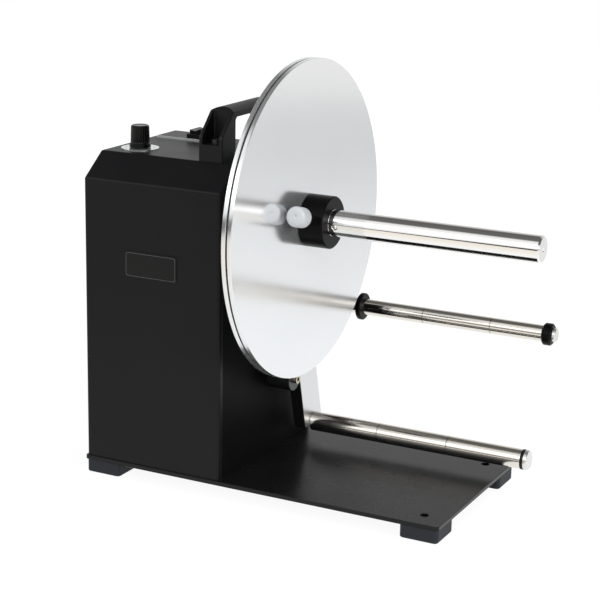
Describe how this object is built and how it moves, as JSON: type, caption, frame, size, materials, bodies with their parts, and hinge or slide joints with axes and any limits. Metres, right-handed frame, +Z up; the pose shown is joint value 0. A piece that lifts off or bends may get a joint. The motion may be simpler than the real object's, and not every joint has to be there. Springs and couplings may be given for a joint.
{
  "type": "powered label rewinder",
  "caption": "Bench-top powered label rewinder with a clamping side disc on a horizontal core spindle, a swinging tension arm, a guide roller and a carrying handle.",
  "frame": {"origin": "centre of the bounding box on the bench surface under the feet", "axes": "+X along the core spindle away from the housing, +Y to the rear, +Z up"},
  "size_m": [0.408, 0.3145, 0.393],
  "materials": {
    "black_powder_coat": "satin fine powder coat",
    "foot_rubber": "matte",
    "black_rubber": "matte",
    "zinc_steel": "zinc plated",
    "polished_steel": "polished",
    "disc_aluminium": "fine brushed",
    "arm_aluminium": "brushed",
    "black_anodised": "black anodised satin",
    "black_plastic": "matte",
    "switch_plate_coat": "satin",
    "gear_steel": "machined",
    "bronze": "machined",
    "motor_steel": "satin",
    "circuit_board": "matte"
  },
  "bodies": {
    "frame": {"base_plate": "black_powder_coat", "rubber_feet": "foot_rubber", "foot_screws": "zinc_steel", "countersunk_screws": "zinc_steel", "button_screws": "zinc_steel", "wrap_cover": "black_powder_coat", "spindle_side_plate": "black_powder_coat", "left_side_panel": "black_powder_coat", "badge_plate": "black_anodised", "bearing_housing": "black_anodised", "bearing_outer_rings": "polished_steel", "arm_retaining_ring": "zinc_steel", "gearbox": "arm_aluminium", "motor": "motor_steel", "motor_bracket": "zinc_steel", "gearbox_screws": "zinc_steel", "guide_bracket": "black_powder_coat", "guide_axle": "polished_steel", "guide_axle_nut": "zinc_steel", "guide_end_cap": "polished_steel", "stop_core": "zinc_steel", "stop_sleeve": "black_rubber", "stop_washer": "zinc_steel", "stop_screw": "zinc_steel", "dial_plate": "disc_aluminium", "potentiometer": "motor_steel", "switch_plate": "switch_plate_coat", "switch_body": "black_plastic", "dc_inlet": "black_plastic", "control_board": "circuit_board", "carry_handle": "black_plastic", "handle_screws": "zinc_steel"},
    "spindle": {"spindle_shaft": "polished_steel", "spindle_circlip": "zinc_steel", "detent_ball": "polished_steel", "bearing_inner_rings": "polished_steel", "spindle_gear": "gear_steel", "gear_key": "zinc_steel", "rear_flange_disc": "disc_aluminium", "separator_liner": "black_plastic"},
    "front_flange": {"front_flange_disc": "disc_aluminium", "flange_hub": "black_anodised", "hub_screws": "zinc_steel"},
    "clamp_stud": {"thumb_stud": "polished_steel"},
    "clamp_knob": {"thumb_knob": "arm_aluminium"},
    "pinion": {"motor_pinion": "gear_steel", "motor_output_shaft": "polished_steel"},
    "arm": {"tension_arm": "arm_aluminium", "arm_bush": "bronze", "tension_axle": "polished_steel", "tension_axle_nut": "zinc_steel", "tension_end_cap": "polished_steel"},
    "tension_roller": {"tension_tube": "polished_steel", "tension_plugs": "black_plastic"},
    "guide_roller": {"guide_tube": "polished_steel", "guide_flange": "black_anodised", "guide_end_ring": "black_anodised"},
    "speed_control": {"speed_knob": "black_plastic", "pot_shaft": "motor_steel"},
    "rocker": {"switch_rocker": "black_plastic"}
  },
  "joints": [
    {"name": "spindle_spin", "type": "hinge", "parent": "frame", "child": "spindle", "pos_m": [-0.044, -0.01125, 0.247], "axis": [1, 0, 0], "continuous": true},
    {"name": "pinion_spin", "type": "hinge", "parent": "frame", "child": "pinion", "pos_m": [-0.114, -0.01125, 0.193], "axis": [1, 0, 0], "continuous": true},
    {"name": "flange_slide", "type": "slide", "parent": "spindle", "child": "front_flange", "axis": [1, 0, 0], "range_m": [0, 0.15]},
    {"name": "clamp_slide", "type": "slide", "parent": "front_flange", "child": "clamp_stud", "axis": [0, -0.9703, 0.2419], "range_m": [0, 0.0017]},
    {"name": "clamp_turn", "type": "hinge", "parent": "clamp_stud", "child": "clamp_knob", "pos_m": [-0.007, -0.05491, 0.25789], "axis": [0, -0.9703, 0.2419], "range_deg": [0, 720]},
    {"name": "arm_swing", "type": "hinge", "parent": "frame", "child": "arm", "pos_m": [-0.044, -0.01125, 0.247], "axis": [1, 0, 0], "range_deg": [0, 29.5]},
    {"name": "tension_roller_spin", "type": "hinge", "parent": "arm", "child": "tension_roller", "pos_m": [0.066, 0.04358, 0.03498], "axis": [1, 0, 0], "continuous": true},
    {"name": "guide_roller_spin", "type": "hinge", "parent": "frame", "child": "guide_roller", "pos_m": [0.066, 0.14375, 0.127], "axis": [1, 0, 0], "continuous": true},
    {"name": "speed_turn", "type": "hinge", "parent": "frame", "child": "speed_control", "pos_m": [-0.1765, -0.04825, 0.303], "axis": [0, 0, 1], "range_deg": [-210, 90]},
    {"name": "rocker_tilt", "type": "hinge", "parent": "frame", "child": "rocker", "pos_m": [-0.1545, 0.01875, 0.3062], "axis": [0, 1, 0], "range_deg": [0, 16]}
  ],
  "couplings": [
    {"joint": "pinion_spin", "follows": "spindle_spin", "ratio": -3},
    {"joint": "clamp_slide", "follows": "clamp_turn", "m_per_rad": 0.00012732}
  ]
}
